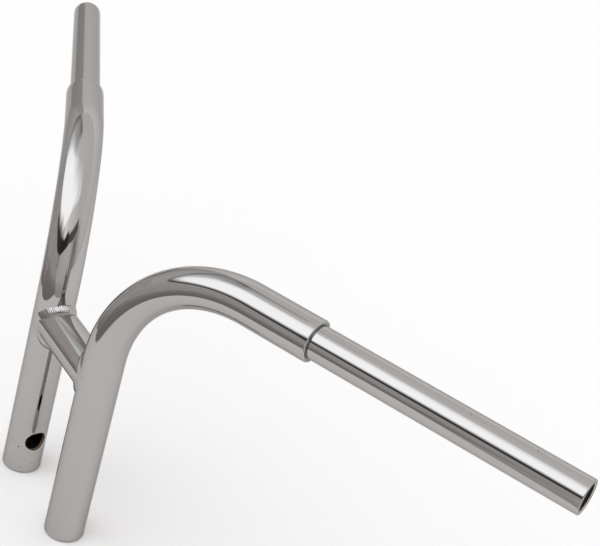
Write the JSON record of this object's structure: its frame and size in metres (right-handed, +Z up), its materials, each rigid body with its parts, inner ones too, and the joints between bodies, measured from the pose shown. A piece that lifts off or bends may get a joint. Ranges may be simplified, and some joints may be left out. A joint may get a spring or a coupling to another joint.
{
  "type": "motorcycle handlebar",
  "caption": "Chrome T-bar handlebar: upright tubular legs with threaded feet bend into swept-back arms, tied by a welded cross tube, with thinner open grip ends.",
  "frame": {"origin": "midway between the two feet, on their mounting plane", "axes": "+X to the rider's right, +Y forward, +Z up along the legs; the arms are swept back to -Y"},
  "size_m": [0.758, 0.1805, 0.2824],
  "materials": {
    "tube_chrome": "bright polished chrome plate",
    "cross_chrome": "bright polished chrome plate",
    "grip_chrome": "bright polished chrome plate",
    "weld_chrome": "chrome plate over a rippled weld bead",
    "bung_steel": "turned steel"
  },
  "bodies": {
    "root": {"left_bar_tube": "tube_chrome", "right_bar_tube": "tube_chrome", "cross_tube": "cross_chrome", "left_grip_tube": "grip_chrome", "right_grip_tube": "grip_chrome", "left_foot_bung": "bung_steel", "right_foot_bung": "bung_steel", "left_cross_weld": "weld_chrome", "right_cross_weld": "weld_chrome"}
  },
  "joints": []
}
